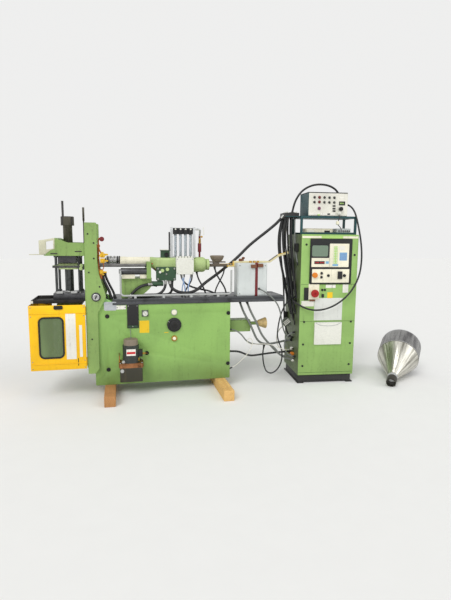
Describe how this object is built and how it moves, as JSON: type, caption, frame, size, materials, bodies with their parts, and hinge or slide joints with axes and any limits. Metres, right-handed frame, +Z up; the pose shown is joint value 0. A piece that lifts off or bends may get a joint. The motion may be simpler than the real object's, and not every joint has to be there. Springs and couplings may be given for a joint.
{
  "type": "injection molding machine",
  "caption": "Injection moulding machine with an upright clamp at the left, a horizontal injection unit on a bed, a control cabinet at the right and its hopper taken off beside it.",
  "frame": {"origin": "middle of the whole machine on the floor, hoses and cables left out", "axes": "+X along the machine from the clamp to the control cabinet, +Y away from its front, +Z up"},
  "size_m": [4.1411, 0.913, 2.1097],
  "materials": {
    "timber_wood": "rough sawn",
    "green_paint": "satin paint",
    "dark_green_paint": "satin paint",
    "light_green_paint": "satin paint",
    "cabinet_green": "satin paint",
    "guard_yellow": "gloss paint",
    "cream_paint": "satin paint",
    "black_paint": "satin paint",
    "teal_paint": "satin paint",
    "oiled_steel": "oiled, ground",
    "bright_steel": "ground",
    "hopper_steel": "polished stainless",
    "rod_chrome": "hard chrome",
    "tray_steel": "oiled sheet",
    "glass_tube": "clear tube",
    "window_pane": "clear, greasy",
    "black_rubber": "matt",
    "grey_rubber": "matt",
    "hose_black": "matt",
    "hose_blue": "soft hose",
    "cable_black": "cable sheath",
    "cable_grey": "cable sheath",
    "cable_white": "cable sheath",
    "black_plastic": "moulded",
    "grey_box_paint": "satin paint",
    "white_box_plastic": "moulded",
    "beige_box_paint": "satin paint",
    "panel_black": "moulded",
    "copper_pipe": "dull"
  },
  "bodies": {
    "machine": {"arm_cylinders": "oiled_steel", "barrel": "bright_steel", "barrel_shield": "cream_paint", "base_cabinet": "green_paint", "bed": "green_paint", "bed_arch": "hose_black", "bed_hose": "hose_black", "bed_tube": "grey_rubber", "blue_hoses": "hose_blue", "cabinet_body": "cabinet_green", "cabinet_plinth": "black_paint", "cable_arm": "cream_paint", "carriage_cylinder": "oiled_steel", "clamp_arm": "green_paint", "clamp_cheek_front": "green_paint", "clamp_cheek_rear": "green_paint", "clamp_cylinder": "green_paint", "clamp_hose": "hose_black", "control_panel": "panel_black", "controller": "teal_paint", "coolant_pipe": "copper_pipe", "cross_cable": "cable_black", "distribution_box": "white_box_plastic", "door_cable": "cable_black", "door_fittings": "cream_paint", "drain_pipe": "bright_steel", "drip_tray": "tray_steel", "drop_loop": "cable_black", "end_bracket": "cream_paint", "front_fittings": "black_plastic", "grey_cable": "cable_grey", "guide_rods": "rod_chrome", "hopper": "hopper_steel", "hopper_cone": "hopper_steel", "hopper_spout": "hopper_steel", "hydraulic_block": "green_paint", "injection_casting": "green_paint", "long_hose": "hose_black", "lower_platen": "oiled_steel", "lubrication_pump": "black_paint", "meter_frame": "bright_steel", "meter_tubes": "glass_tube", "pivot_shaft": "oiled_steel", "rack_cable": "cable_black", "rack_frame": "teal_paint", "side_loom": "cable_black", "terminal_box": "grey_box_paint", "thick_cables": "cable_grey", "tie_bars": "rod_chrome", "timbers": "timber_wood", "top_boxes": "beige_box_paint", "unit_support": "green_paint", "upper_platen": "oiled_steel", "valve_block": "dark_green_paint", "white_cable": "cable_white"},
    "guard": {"guard_hood": "guard_yellow", "guard_trim": "black_rubber", "window_glass": "window_pane"},
    "platen": {"moving_platen": "light_green_paint", "press_ram": "rod_chrome"}
  },
  "joints": [
    {"name": "guard_slide", "type": "slide", "parent": "machine", "child": "guard", "axis": [0, 0, 1], "range_m": [0, 0.43]},
    {"name": "platen_slide", "type": "slide", "parent": "machine", "child": "platen", "axis": [0, 0, 1], "range_m": [-0.18, 0]}
  ]
}
